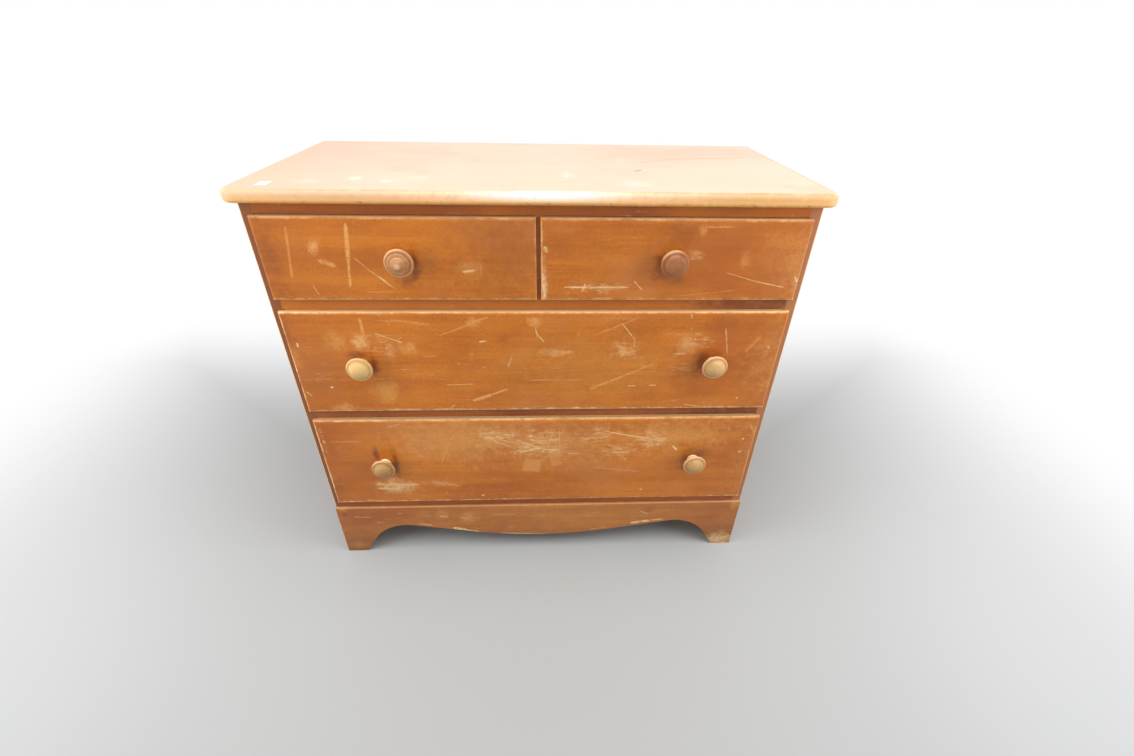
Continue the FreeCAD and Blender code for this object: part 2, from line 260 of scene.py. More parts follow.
def make_grain():
    """Maple grain along X: broad streaks, fine pores and the blotches that stain leaves."""
    inputs = {"Place": ORIGIN, "Pale": BARE_PALE, "Deep": BARE_DEEP, "Contrast": 1.0}
    tree, given, result = new_group("maple_grain", inputs, {"Colour": "Color", "Figure": "Float"})
    streak = noise(tree, stretched(tree, given["Place"], (1.6, 38.0, 38.0)), 1.0, 5.0, 0.6)
    fine = noise(tree, stretched(tree, given["Place"], (9.0, 520.0, 520.0)), 1.0, 3.0, 0.6)
    blotch = noise(tree, stretched(tree, given["Place"], (5.5, 9.0, 9.0)), 1.0, 6.0, 0.72)
    mottle = noise(tree, given["Place"], 190.0, 5.0, 0.8)
    figure = maths(tree, "MULTIPLY", streak, 0.26)
    for layer, share in ((fine, 0.16), (blotch, 0.32), (mottle, 0.26)):
        figure = maths(tree, "MULTIPLY_ADD", layer, share, figure)
    spread = maths(tree, "MULTIPLY_ADD", maths(tree, "SUBTRACT", figure, 0.5), given["Contrast"], 0.5)
    share = ranged(tree, spread, 0.36, 0.64)
    tree.links.new(blend(tree, share, given["Pale"], given["Deep"]), result["Colour"])
    tree.links.new(figure, result["Figure"])
    return tree


def make_stroke():
    """A scratch seen from the front: a soft line from Start to End that tapers, wavers and breaks."""
    inputs = {
        "Place": ORIGIN,
        "Start": ORIGIN,
        "End": (1.0, 0.0, 0.0),
        "Width": 0.001,
        "Strength": 1.0,
        "Waver": 0.5,
        "Breaks": 0.5,
    }
    tree, given, result = new_group("scratch_stroke", inputs, {"Mask": "Float"})
    run = vector_maths(tree, "SUBTRACT", given["End"], given["Start"])
    offset = vector_maths(tree, "SUBTRACT", given["Place"], given["Start"])
    reached = vector_maths(tree, "DOT_PRODUCT", offset, run)
    along = maths(tree, "DIVIDE", reached, vector_maths(tree, "DOT_PRODUCT", run, run))
    clamped = node(tree, "ShaderNodeClamp", {"Value": along}).outputs[0]
    foot = node(tree, "ShaderNodeVectorMath", {0: run, "Scale": clamped}, operation="SCALE").outputs[0]
    away = vector_maths(tree, "LENGTH", vector_maths(tree, "SUBTRACT", offset, foot))
    middle = maths(tree, "ABSOLUTE", maths(tree, "MULTIPLY_ADD", clamped, 2.0, -1.0))
    taper = ranged(tree, middle, 0.8, 1.0, 1.0, 0.5)
    waver = maths(tree, "MULTIPLY_ADD", given["Waver"], 0.7, 0.45)
    edge = joined(tree, "MULTIPLY", (given["Width"], waver, taper))
    core = ranged(tree, maths(tree, "DIVIDE", away, edge), 0.25, 1.0, 1.0, 0.0)
    broken = ranged(tree, given["Breaks"], 0.36, 0.56, 0.45, 1.0)
    tree.links.new(joined(tree, "MULTIPLY", (core, broken, given["Strength"])), result["Mask"])
    return tree


def make_patch():
    """A soft-edged patch of a given half size, uneven like a rubbed place."""
    inputs = {"Place": ORIGIN, "Centre": ORIGIN, "Size": (0.01, 1.0, 0.01), "Strength": 1.0, "Ragged": 0.5}
    tree, given, result = new_group("rubbed_patch", inputs, {"Mask": "Float"})
    offset = vector_maths(tree, "SUBTRACT", given["Place"], given["Centre"])
    away = vector_maths(tree, "LENGTH", vector_maths(tree, "DIVIDE", offset, given["Size"]))
    rim = maths(tree, "MULTIPLY_ADD", maths(tree, "SUBTRACT", given["Ragged"], 0.5), 2.4, away)
    mask = maths(tree, "MULTIPLY", ranged(tree, rim, 0.0, 1.25, 1.0, 0.0), given["Strength"])
    tree.links.new(mask, result["Mask"])
    return tree


def thin_lines(tree, place, angle, stretch, seed, core, rim):
    """Fine lines at an angle in degrees, along the middle values of a stretched noise. They are full up
    to core from that middle, and gone at rim."""
    turned = stretched(tree, place, stretch, (0.0, math.radians(angle), 0.0), seed)
    return ranged(tree, apart(tree, noise(tree, turned, 1.0, 1.0, 0.4), 0.5), core, rim, 1.0, 0.0)


def make_hatching():
    """Short scratches that cross at shallow angles, as sliding things leave them."""
    tree, given, result = new_group("crossed_scratches", {"Place": ORIGIN}, {"Mask": "Float"})
    lines = []
    for angle, length, seed in ((22.0, 14.0, 0.0), (-27.0, 17.0, 3.7), (6.0, 9.0, 8.1)):
        lines.append(thin_lines(tree, given["Place"], angle, (length, length, 105.0), seed, 0.004, 0.030))
    tree.links.new(joined(tree, "MAXIMUM", lines), result["Mask"])
    return tree


def make_border():
    """Wear in from the four edges of a board seen from the front, each with its own reach."""
    inputs = {"Place": ORIGIN, "Low": ORIGIN, "High": (1.0, 1.0, 1.0)}
    inputs |= {"Left": 0.003, "Right": 0.003, "Bottom": 0.003, "Top": 0.003, "Ragged": 1.0}
    tree, given, result = new_group("worn_border", inputs, {"Mask": "Float"})
    from_low = split(tree, vector_maths(tree, "SUBTRACT", given["Place"], given["Low"]))
    from_high = split(tree, vector_maths(tree, "SUBTRACT", given["High"], given["Place"]))
    sides = ((from_low[0], "Left"), (from_high[0], "Right"), (from_low[2], "Bottom"), (from_high[2], "Top"))
    nearest = joined(tree, "MINIMUM", [maths(tree, "DIVIDE", away, given[side]) for away, side in sides])
    coarse = maths(tree, "SUBTRACT", noise(tree, given["Place"], 30.0, 6.0, 0.75), 0.5)
    lift = maths(tree, "MULTIPLY", coarse, given["Ragged"])
    rim = maths(tree, "MULTIPLY_ADD", lift, 3.2, nearest)
    tree.links.new(ranged(tree, rim, 0.25, 1.15, 1.0, 0.0), result["Mask"])
    return tree


def make_scuffs():
    """Years of fine scratches and small dings, thicker in some places than in others."""
    tree, given, result = new_group("fine_scuffs", {"Place": ORIGIN, "Amount": 1.0}, {"Mask": "Float"})
    layers = []
    for angle, length, seed in ((14.0, 7.0, 0.0), (-32.0, 9.0, 3.7), (78.0, 12.0, 8.1)):
        lines = thin_lines(tree, given["Place"], angle, (length, length, 190.0), seed, 0.0, 0.014)
        where = stretched(tree, given["Place"], (9.0, 9.0, 14.0), shift=(seed, 0.0, 1.0))
        thick = ranged(tree, noise(tree, where, 1.0, 3.0, 0.6), 0.56, 0.68)
        layers.append(maths(tree, "MULTIPLY", lines, thick))
    cells = node(tree, "ShaderNodeTexVoronoi", {"Vector": given["Place"], "Scale": 75.0, "Randomness": 1.0})
    ding = ranged(tree, cells.outputs["Distance"], 0.05, 0.12, 1.0, 0.0)
    chosen = node(tree, "ShaderNodeSeparateColor", {0: cells.outputs["Color"]}).outputs[0]
    layers.append(maths(tree, "MULTIPLY", ding, ranged(tree, chosen, 0.80, 0.86)))
    mask = maths(tree, "MULTIPLY", joined(tree, "MAXIMUM", layers), given["Amount"])
    tree.links.new(mask, result["Mask"])
    return tree


def make_turning():
    """Rings that a lathe tool leaves round an axis along Y, with how far out each point is from it."""
    inputs = {"Place": ORIGIN, "Centre": ORIGIN, "Radius": 0.025}
    tree, given, result = new_group("lathe_turning", inputs, {"Out": "Float", "Rings": "Float"})
    offset = vector_maths(tree, "SUBTRACT", given["Place"], given["Centre"])
    across = vector_maths(tree, "LENGTH", vector_maths(tree, "MULTIPLY", offset, (1.0, 0.0, 1.0)))
    out = maths(tree, "DIVIDE", across, given["Radius"])
    depth = split(tree, offset)[1]
    links = {0: maths(tree, "MULTIPLY", out, 26.0), 1: maths(tree, "MULTIPLY", depth, 900.0)}
    ring_place = node(tree, "ShaderNodeCombineXYZ", links).outputs[0]
    tree.links.new(out, result["Out"])
    tree.links.new(noise(tree, ring_place, 1.0, 2.0, 0.6), result["Rings"])
    return tree


GRAIN = make_grain()
STROKE = make_stroke()
PATCH = make_patch()
HATCHING = make_hatching()
BORDER = make_border()
SCUFFS = make_scuffs()
TURNING = make_turning()


# Materials

GRAIN_TURNS = {"X": ORIGIN, "Y": (0.0, 0.0, math.pi / 2), "Z": (0.0, math.pi / 2, 0.0)}
SEEN_AXES = {"front": (0, 2), "top": (0, 1), "side": (1, 2)}

# How strongly wood mirrors, how rough it is where the stain is gone, and how strongly its grain stands out
# and how high, in metres
SPECULAR = 0.4
WORN_ROUGH = 0.62
RELIEF_SHARE = 0.2
RELIEF_HEIGHT = 0.0006

# The rounded corner of a board, from where it turns up to where it lies flat as a ledge: how far behind
# the face, and how far under the top, in metres
CORNER_BEHIND = (0.0010, 0.0026)
CORNER_UNDER = (0.0030, 0.0014)


class Finish:
    """A wood finish in the making. Marks lie on it as seen from one side, and each adds to what is
    rubbed thin or worn bare."""

    def __init__(self, name, pale, deep, along="X", contrast=1.0, seed=0.0, seen_from="front"):
        self.material, self.tree, self.shader = new_material(name)
        self.place = own_place(self.tree)
        laid = stretched(self.tree, self.place, (1.0, 1.0, 1.0), GRAIN_TURNS[along], seed)
        grain = use(self.tree, GRAIN, {"Place": laid, "Pale": pale, "Deep": deep, "Contrast": contrast})
        self.colour, self.figure = grain["Colour"], grain["Figure"]
        self.axes = SEEN_AXES[seen_from]
        parts = split(self.tree, self.place)
        self.across, self.depth, self.height = parts
        self.aside = maths(self.tree, "ABSOLUTE", self.across)
        links = {0: parts[self.axes[0]], 2: parts[self.axes[1]]}
        self.flat = node(self.tree, "ShaderNodeCombineXYZ", links).outputs[0]
        self.waver = noise(self.tree, self.place, 260.0, 2.0, 0.6)
        self.breaks = noise(self.tree, self.place, 120.0, 3.0, 0.7)
        self.ragged = noise(self.tree, self.place, 62.0, 5.0, 0.66)
        self.hatch = self.mask(HATCHING)
        self.rubbing = self.speckle(300.0, 4.0, 0.75, 0.38, 0.62, 0.35, 1.0)
        self.rub = self.wear = None

    def spot(self, point):
        """A point as the marks see it."""
        return (point[self.axes[0]], 0.0, point[self.axes[1]])

    def eased(self, value, low, high, bottom=0.0, top=1.0):
        return ranged(self.tree, value, low, high, bottom, top)

    def times(self, *masks):
        return joined(self.tree, "MULTIPLY", masks)

    def outside(self, mask):
        return maths(self.tree, "SUBTRACT", 1.0, mask)

    def speckle(self, scale, detail, rough, low, high, bottom, top):
        """A fine noise, from bottom where it is under low to top over high."""
        return self.eased(noise(self.tree, self.place, scale, detail, rough), low, high, bottom, top)

    def drift(self, scale, low, high, strength, shift=0.0):
        """A slow change over the surface, from 0 where its noise is under low to strength over high."""
        place = stretched(self.tree, self.place, (1.0, 1.0, 1.6), shift=shift)
        return self.eased(noise(self.tree, place, scale, 4.0, 0.6), low, high, 0.0, strength)

    def either(self, before, mask):
        return mask if before is None else maths(self.tree, "MAXIMUM", before, mask)

    def add_rub(self, mask):
        """The stain is thin where mask is 1."""
        self.rub = self.either(self.rub, mask)

    def add_wear(self, mask):
        """The stain is gone where mask is 1."""
        self.wear = self.either(self.wear, mask)

    def mask(self, group, **links):
        """What a group of nodes gives on the surface, as the marks see it."""
        return use(self.tree, group, {"Place": self.flat} | links)["Mask"]

    def border(self, low, high, left, right, bottom, top, ragged=1.0):
        corners = {"Low": self.spot(low), "High": self.spot(high)}
        return self.mask(BORDER, **corners, Left=left, Right=right, Bottom=bottom, Top=top, Ragged=ragged)

    def stroke(self, start, end, width, strength):
        ends = {"Start": self.spot(start), "End": self.spot(end)}
        return self.mask(STROKE, **ends, Width=width, Strength=strength, Waver=self.waver, Breaks=self.breaks)

    def patch(self, one_corner, other_corner, strength):
        one, other = self.spot(one_corner), self.spot(other_corner)
        centre = [(a + b) / 2 for a, b in zip(one, other)]
        size = (abs(one[0] - other[0]) / 2, 1.0, abs(one[2] - other[2]) / 2)
        return self.mask(PATCH, Centre=centre, Size=size, Strength=strength, Ragged=self.ragged)

    def box(self, one_corner, other_corner, soft, turn=0.0):
        """1 inside the box between two points as seen, turned by degrees about its middle, with edges
        that soft wide, in metres."""
        one, other = self.spot(one_corner), self.spot(other_corner)
        middle = [(a + b) / 2 for a, b in zip(one, other)]
        links = {"Vector": self.flat, "Center": middle, "Angle": math.radians(turn)}
        turned = node(self.tree, "ShaderNodeVectorRotate", links, rotation_type="Y_AXIS").outputs[0]
        parts = split(self.tree, turned)
        inside = []
        for i in (0, 2):
            half = abs(other[i] - one[i]) / 2
            away = apart(self.tree, parts[i], middle[i])
            inside.append(self.eased(away, half - soft, half + soft, 1.0, 0.0))
        return self.times(*inside)

    def scuffs(self, amount):
        return self.mask(SCUFFS, Amount=amount)

    def shade_ledge(self, low, high, tone):
        """Painted shade on the upward edge of a board, behind its rounded corner, with the rubbing taken off
        there.
        """
        start, end = CORNER_BEHIND
        behind = self.eased(self.depth, low.y + start, low.y + end)
        start, end = CORNER_UNDER
        upper = self.eased(self.height, high.z - start, high.z - end, 0.0, 0.8)
        self.rub = self.times(self.rub, self.outside(behind))
        self.tint(self.times(behind, upper), tone)

    def keep_marks(self, mask):
        """Rubbing and wear stay only where mask is 1."""
        self.rub = self.times(self.rub, mask)
        self.wear = self.times(self.wear, mask)

    def tint(self, mask, colour):
        self.colour = blend(self.tree, mask, self.colour, colour)

    def finish(self, rough, worn_rough=WORN_ROUGH, worn=WORN_CREAM, coat=0.0, coat_rough=0.25):
        """Mixes in the thin stain and the bare wood, and links everything to the shader."""
        tree, shader = self.tree, self.shader
        if self.rub is not None:
            self.tint(self.rub, RUBBED)
        if self.wear is None:
            shader.inputs["Roughness"].default_value = rough
            relief = self.figure
        else:
            links = {"Place": self.place, "Pale": worn, "Deep": BARE_DEEP, "Contrast": 0.8}
            self.tint(self.wear, use(tree, GRAIN, links)["Colour"])
            tree.links.new(self.eased(self.wear, 0.0, 1.0, rough, worn_rough), shader.inputs["Roughness"])
            relief = maths(tree, "MULTIPLY_ADD", self.wear, -0.5, self.figure)
        tree.links.new(self.colour, shader.inputs["Base Color"])
        links = {"Height": relief, "Strength": RELIEF_SHARE, "Distance": RELIEF_HEIGHT}
        tree.links.new(node(tree, "ShaderNodeBump", links).outputs[0], shader.inputs["Normal"])
        shader.inputs["Specular IOR Level"].default_value = SPECULAR
        shader.inputs["Coat Weight"].default_value = coat
        shader.inputs["Coat Roughness"].default_value = coat_rough
        return self.material


def paint(material, *names):
    for name in names:
        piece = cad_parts[name]
        piece.data.materials.clear()
        piece.data.materials.append(material)


# Marks seen in the photograph, in its pixels. Scratches, worn to bare wood, and streaks, rubbed thin, are
# start x and y, end x and y, width in millimetres and strength. Patches, rubbed thin, scraped places,
# crossed by bare scratches, bared places, golden places, and smudges and painted shadows, gone dark, are
# left, top, right, bottom and strength. Tape leaves squares: left, top, right, bottom, turn in degrees and
# strength.

UPPER_LEFT_MARKS = {
    "scratches": (
        (371, 271.5, 395, 288.8, 1.7, 0.6),
        (379, 276.8, 386, 282.0, 2.4, 0.75),
        (463, 272, 474, 270.5, 3.8, 0.75),
        (354, 257.7, 371, 272, 1.6, 0.5),
        (312.8, 285.4, 319.5, 295, 1.5, 0.45),
        (368, 292, 393, 292, 1.5, 0.35),
    ),
    "streaks": (
        (285, 227, 292.3, 278.7, 4.2, 0.42),
        (345.3, 224.2, 348.5, 262, 6.5, 0.85),
        (348, 258, 350.5, 287.3, 4.5, 0.75),
        (319, 260.5, 335, 266, 8.0, 0.6),
        (309, 251, 315, 243, 8.0, 0.5),
    ),
    "patches": (
        (304, 238, 322, 255, 0.9),
        (455, 258, 484, 278, 0.4),
        (478, 259, 484, 277, 0.45),
        (400, 244, 412, 250, 0.2),
    ),
    # The first two are painted shadow round the knob's foot, with some dirt; the broad ones darken the
    # drawer's left end and its right part
    "smudges_and_shadows": (
        (406, 248, 424, 284, 0.85),
        (394, 274, 420, 288, 0.6),
        (236, 206, 300, 308, 0.4),
        (430, 202, 570, 312, 0.3),
        (236, 200, 264, 308, 0.4),
    ),
}
UPPER_RIGHT_MARKS = {
    "scratches": (
        (564.7, 287.3, 628.3, 287.3, 3.5, 0.85),
        (582, 292, 585, 284, 3.0, 0.8),
        (590, 284, 591, 290, 2.0, 0.6),
        (572, 286, 573, 290, 2.0, 0.6),
        (634, 281, 642, 290, 2.0, 0.75),
        (726.6, 272.8, 756.7, 281.7, 1.6, 0.5),
        (756.7, 281.7, 783.5, 287.3, 1.8, 0.7),
        (795, 277, 797, 282, 3.0, 0.8),
        (543, 274, 545, 302, 6.2, 0.9),
        (544.6, 247, 546.5, 252, 6.2, 0.9),
    ),
    "streaks": (
        (705, 227, 734, 227, 3.0, 0.5),
        (679, 296, 737, 290, 1.6, 0.4),
    ),
    "patches": (
        (699, 224, 707, 237, 0.65),
        (686, 248, 704, 259, 0.5),
        (741, 249, 751, 270, 0.45),
        (760, 225, 812, 262, 0.25),
        (788, 205, 826, 308, 0.35),
        (545, 222, 580, 236, 0.2),
    ),
    "scraped": (
        (560, 280, 632, 294, 0.5),
        (686, 246, 706, 262, 0.4),
    ),
    "bared": (
        (540, 258, 548, 308, 0.75),
        (796, 268, 804, 306, 0.4),
    ),
    # Painted shadow round the knob's foot, with some dirt
    "smudges_and_shadows": (
        (658, 216, 706, 254, 0.36),
        (653, 252, 667, 282, 0.8),
        (661, 274, 688, 286, 0.6),
    ),
}
MIDDLE_MARKS = {
    "scratches": (
        (375, 333.6, 402.3, 342.7, 2.4, 0.95),
        (397, 341, 401, 337, 1.8, 0.6),
        (479.5, 341.8, 486.8, 341, 3.0, 0.9),
        (535.9, 332.7, 544, 341.8, 1.9, 0.85),
        (535.2, 327.6, 537.7, 337, 2.0, 0.7),
        (622, 323.2, 635, 339.6, 1.9, 0.8),
        (726, 328.4, 727.2, 353.4, 2.6, 0.45),
        (635, 339.6, 634, 345.6, 1.6, 0.6),
        (673.8, 353.7, 685, 353.7, 3.0, 0.8),
        (628, 385.8, 635, 385.8, 2.2, 0.7),
        (648.8, 385.2, 655.7, 385.2, 2.5, 0.75),
        (297, 343, 298, 347, 3.2, 0.8),
        (307, 392, 312, 396, 2.2, 0.8),
        (331, 388, 333, 386.6, 3.2, 0.9),
        (458, 363.6, 459.2, 363.6, 3.2, 0.8),
        (736, 397.8, 737.5, 397.8, 3.5, 0.9),
        (691.5, 314.5, 692.3, 318, 3.0, 0.7),
        (767.5, 346.8, 769, 346.8, 3.2, 0.7),
        (695, 338.7, 696, 338.7, 3.0, 0.7),
        (705, 339.3, 706.2, 339.3, 3.0, 0.7),
        (474, 384, 446, 385, 1.6, 0.55),
        (527, 380.4, 583.4, 379.8, 1.5, 0.45),
        (450, 409, 455, 404.5, 1.8, 0.6),
        (683, 404, 700.5, 406.8, 1.8, 0.6),
        (508, 367, 512, 356, 1.9, 0.5),
    ),
    "streaks": (
        (359.5, 319, 363.7, 336.4, 5.5, 0.7),
        (391, 320, 429.5, 324.5, 4.8, 0.42),
        (439.5, 335.5, 472.3, 323.6, 2.4, 0.6),
        (472, 322, 487.7, 317.3, 4.0, 0.6),
        (385, 349, 391, 345, 2.4, 0.6),
        (384, 353, 395, 356.5, 2.4, 0.5),
        (422.3, 356.4, 436.8, 356, 1.8, 0.6),
        (474, 400.5, 492, 394.6, 7.0, 0.9),
        (488, 396, 507.7, 389, 4.0, 0.8),
        (552, 356.8, 570.5, 351.7, 4.0, 0.45),
        (598.9, 333.6, 640.2, 317.2, 2.8, 0.45),
        (590.3, 388.7, 626, 375, 5.5, 0.6),
        (600, 386, 653.1, 363.7, 3.2, 0.5),
        (745, 352, 761, 336, 6.0, 0.35),
    ),
    "patches": (
        (346, 333, 374, 351, 0.8),
        (322, 336, 352, 352, 0.4),
        (397, 341, 420, 357, 0.85),
        (464, 316, 481, 328, 0.9),
        (525, 316, 545, 328, 0.8),
        (468, 351, 475, 359, 0.4),
        (537, 348, 546, 354, 0.6),
        (616, 344, 631, 356, 0.55),
        (577, 331, 580, 336, 0.6),
        (678, 337, 702, 355, 0.25),
        (588, 384, 597, 391, 0.6),
        (330, 402, 358, 412, 0.6),
        (284, 345, 306, 372, 0.35),
        (372, 382, 405, 404, 0.25),
        (590, 314, 650, 322, 0.35),
        (756, 310, 804, 404, 0.4),
    ),
    "scraped": (
        (350, 335, 405, 358, 0.4),
        (612, 340, 640, 360, 0.5),
        (540, 345, 580, 360, 0.3),
        (672, 332, 714, 352, 0.35),
    ),
    "bared": (
        (348, 335, 371, 349, 0.4),
        (382, 342, 398, 360, 0.3),
        (676, 340, 698, 354, 0.25),
        (615, 343, 631, 356, 0.3),
    ),
    "golden": (
        (364, 380, 408, 405, 0.5),
        (480, 330, 700, 400, 0.3),
        (320, 330, 350, 346, 0.4),
    ),
    # The last four are painted shadow round the knobs' feet, with some dirt
    "smudges_and_shadows": (
        (700, 316, 744, 334, 0.3),
        (270, 308, 302, 356, 0.35),
        (497, 334, 513, 345, 0.3),
        (344, 350, 372, 360, 0.7),
        (366, 354, 382, 380, 0.85),
        (694, 350, 722, 362, 0.7),
        (694, 352, 707, 377, 0.8),
    ),
}
LOWER_MARKS = {
    "scratches": (
        (610, 432.3, 664, 441, 2.8, 0.85),
        (672.7, 445.9, 676.7, 449.9, 3.8, 0.95),
        (738, 452, 741, 451, 4.2, 0.8),
        (742, 439, 744, 438.5, 3.8, 0.8),
        (728, 429, 729.5, 428.5, 3.8, 0.6),
        (482, 495.3, 484.5, 495.3, 4.0, 0.9),
        (446, 493, 447.5, 492.5, 3.5, 0.6),
        (640, 489.2, 641.6, 489.2, 3.8, 0.9),
        (386.5, 427.5, 399.3, 424, 1.9, 0.55),
        (483.8, 438, 508.5, 446, 2.5, 0.75),
        (498, 439.5, 519, 443.5, 2.2, 0.7),
        (517, 440, 540, 448.5, 3.0, 0.85),
        (530, 438.6, 544, 444.5, 2.8, 0.8),
        (544, 442, 560, 438.6, 2.5, 0.7),
        (520.5, 452.3, 538, 448.3, 3.8, 0.8),
        (548, 447, 553, 432, 2.0, 0.6),
        (595.4, 467.4, 638.4, 471.4, 1.9, 0.5),
        (566.7, 453, 581, 453.8, 2.0, 0.5),
        (559.5, 430.7, 560, 452, 1.8, 0.5),
        (375, 461.6, 377, 461.8, 2.8, 0.7),
        (367, 500, 380, 500.6, 2.2, 0.6),
    ),
    "streaks": (
        (455, 434, 448.7, 444.3, 2.4, 0.65),
        (448.7, 444.3, 441.5, 463.4, 2.0, 0.65),
        (376, 484.5, 418.4, 484.5, 5.0, 0.85),
        (379, 488.5, 400, 489, 6.0, 0.8),
        (432.8, 482, 460, 485.7, 4.5, 0.4),
        (412, 438.7, 429.6, 442, 3.0, 0.4),
        (608, 445, 629.6, 451.5, 5.0, 0.75),
        (616, 453, 626, 459.5, 4.0, 0.55),
        (645, 431, 664, 441, 7.0, 0.75),
        (471, 433, 497, 434.5, 3.4, 0.6),
        (738.9, 494.5, 750, 445, 3.0, 0.5),
        (750, 424, 756, 436, 5.0, 0.5),
        (330, 442, 360, 442, 2.4, 0.4),
    ),
    "patches": (
        (470, 426, 530, 452, 0.45),
        (505, 430, 570, 456, 0.6),
        (585, 428, 618, 444, 0.5),
        (636, 427, 672, 450, 0.6),
        (602, 440, 636, 458, 0.5),
        (407, 432, 414, 440, 0.5),
        (470, 463, 481, 473, 0.4),
        (476, 455, 486, 464, 0.4),
        (370, 414, 520, 462, 0.38),
        (470, 412, 640, 470, 0.42),
        (600, 414, 740, 458, 0.36),
        (752, 426, 758, 434, 0.5),
        (604, 466, 640, 474, 0.25),
        (736, 418, 778, 506, 0.3),
    ),
    "scraped": (
        (466, 428, 530, 448, 0.65),
        (505, 432, 572, 456, 0.9),
        (570, 428, 620, 444, 0.55),
        (636, 430, 668, 449, 0.85),
        (604, 442, 636, 460, 0.5),
        (370, 478, 425, 494, 0.4),
        (316, 422, 330, 456, 0.5),
    ),
    "bared": (
        (372, 478, 422, 494, 0.75),
        (420, 480, 462, 488, 0.3),
    ),
    "golden": (
        (380, 412, 540, 462, 0.32),
        (620, 418, 742, 448, 0.4),
    ),
    # The four round the knobs are painted shadow about their feet, with some dirt
    "smudges_and_shadows": (
        (316, 478, 350, 502, 0.3),
        (370, 446, 382, 464, 0.85),
        (388, 447, 404, 482, 0.9),
        (682, 446, 712, 460, 0.8),
        (679, 450, 692, 472, 0.75),
        (470, 478, 620, 502, 0.2),
    ),
    "tape": (
        (523.6, 458.6, 540.6, 471.6, -9.0, 0.45),
        (549, 447, 560.5, 466, 12.0, 0.4),
    ),
}
APRON_MARKS = {
    "scratches": (
        (454, 527.8, 466, 529.8, 8.0, 1.0),
        (464, 529.8, 480, 532.0, 6.0, 1.0),
        (420, 523.4, 432, 525.2, 4.0, 0.6),
        (501, 533, 549, 534, 3.4, 0.6),
        (631, 522.8, 640.5, 521.4, 6.0, 0.95),
        (641, 521.4, 649, 520.4, 6.0, 1.0),
        (651, 520.0, 663, 518.8, 4.0, 0.7),
        (590.6, 529.2, 606.5, 526.8, 2.4, 0.5),
        (355, 517, 371, 517.4, 1.8, 0.6),
        (398, 513.5, 402, 513.5, 2.2, 0.6),
        (440, 516, 448, 517, 3.0, 0.6),
        (460, 517, 474, 521, 2.2, 0.6),
        (490, 515, 518, 514, 1.8, 0.5),
        (640, 511, 648, 514, 2.6, 0.5),
    ),
    "patches": (
        (470, 500, 640, 506, 0.55),
        (731, 500, 738, 509, 0.7),
        (336, 506, 350, 512, 0.5),
        (455, 510, 480, 524, 0.4),
        (432, 508, 452, 520, 0.35),
        (346, 540, 372, 550, 0.35),
    ),
    "bared": (
        (700, 531, 734, 548, 0.95),
        (337, 535, 350, 554, 0.35),
    ),
    "smudges_and_shadows": (
        (341, 511, 348, 518, 0.6),
        (347, 546, 372, 552, 0.5),
        (640, 505, 655, 514, 0.25),
    ),
}
# Painted shadow in the gaps along the rails, under the fronts above them, darkest at the right
RAIL_MARKS = {
    "smudges_and_shadows": (
        (660, 406, 760, 420, 0.9),
        (705, 400, 785, 426, 0.7),
        (290, 400, 410, 422, 0.4),
        (690, 288, 815, 324, 0.85),
        (745, 292, 800, 320, 0.5),
    ),
}

# How soft the edges of a tape mark are, in metres
TAPE_SOFT = 0.004


def mark_up(finish, level, marks):
    """Lays marks given in pixels on the upright plane at Y = level."""

    def patches(kind):
        for left, top, right, bottom, strength in marks.get(kind, ()):
            yield finish.patch(seen_at((left, top), 1, level), seen_at((right, bottom), 1, level), strength)

    def strokes(kind):
        for x, y, end_x, end_y, width, strength in marks.get(kind, ()):
            ends = seen_at((x, y), 1, level), seen_at((end_x, end_y), 1, level)
            yield finish.stroke(*ends, width / 1000, strength)

    # Gold is tinted in; smudges are dirt, and painted shadow round the knobs' feet and in the rails' gaps
    for kind, tone in (("golden", STAIN_GOLD), ("smudges_and_shadows", SMUDGE_AND_SHADOW)):
        for mask in patches(kind):
            finish.tint(mask, tone)
    for mask in patches("patches"):
        finish.add_rub(finish.times(mask, finish.rubbing))
    for mask in strokes("streaks"):
        finish.add_rub(mask)
    for left, top, right, bottom, turn, strength in marks.get("tape", ()):
        corners = seen_at((left, bottom), 1, level), seen_at((right, top), 1, level)
        finish.add_rub(finish.times(finish.box(*corners, TAPE_SOFT, turn), strength))
    for kind, texture in (("scraped", finish.hatch), ("bared", finish.rubbing)):
        for mask in patches(kind):
            finish.add_wear(finish.times(mask, texture))
    for mask in strokes("scratches"):
        finish.add_wear(mask)


# Painted shade darkens the stain between these distances from the case's middle, in metres, by this share
SHADE_REACH = (0.24, 0.50)
SHADE_SHARE = 0.34


def stained(name, along, seed, seen_from="front", pale=STAIN_PALE, deep=STAIN_DEEP):
    """The orange-brown stain, with its slow drifts to hazy and to red, and painted shade towards the case's
    ends.
    """
    finish = Finish(name, pale, deep, along, 1.15, seed, seen_from)
    finish.tint(finish.drift(3.2, 0.50, 0.72, 0.6, seed), STAIN_HAZE)
    finish.tint(finish.drift(2.6, 0.48, 0.70, 0.6, seed + 7.0), STAIN_RED)
    # Painted shade towards the case's ends
    finish.tint(finish.eased(finish.aside, *SHADE_REACH, 0.0, SHADE_SHARE), STAIN_SHADE)
    return finish


# How deep a front is stained, from its face to the back of its lip, and how softly the stain stops there,
# in metres
LIP_DEPTH = 0.010
STAIN_STOPS = 0.0004

# The wear on a front's edges fades between these depths behind its face, in metres, down to this share
WEAR_DEPTH = (0.001, 0.006)
WEAR_BEHIND = 0.35

# Round a front's bare edges the stain is thinned: at the left and the right this many times as far in, and
# at the foot and the head this far, in metres
THINNED_LEFT, THINNED_RIGHT = 1.4, 1.6
THINNED_FOOT, THINNED_HEAD = 0.0060, 0.0034
THINNED_RAGGED = 1.2
THINNED_SHARE = 0.7

# The painted shade on a front's end fades between these distances in from it, in metres
END_SHADE_REACH = (0.0008, 0.004)
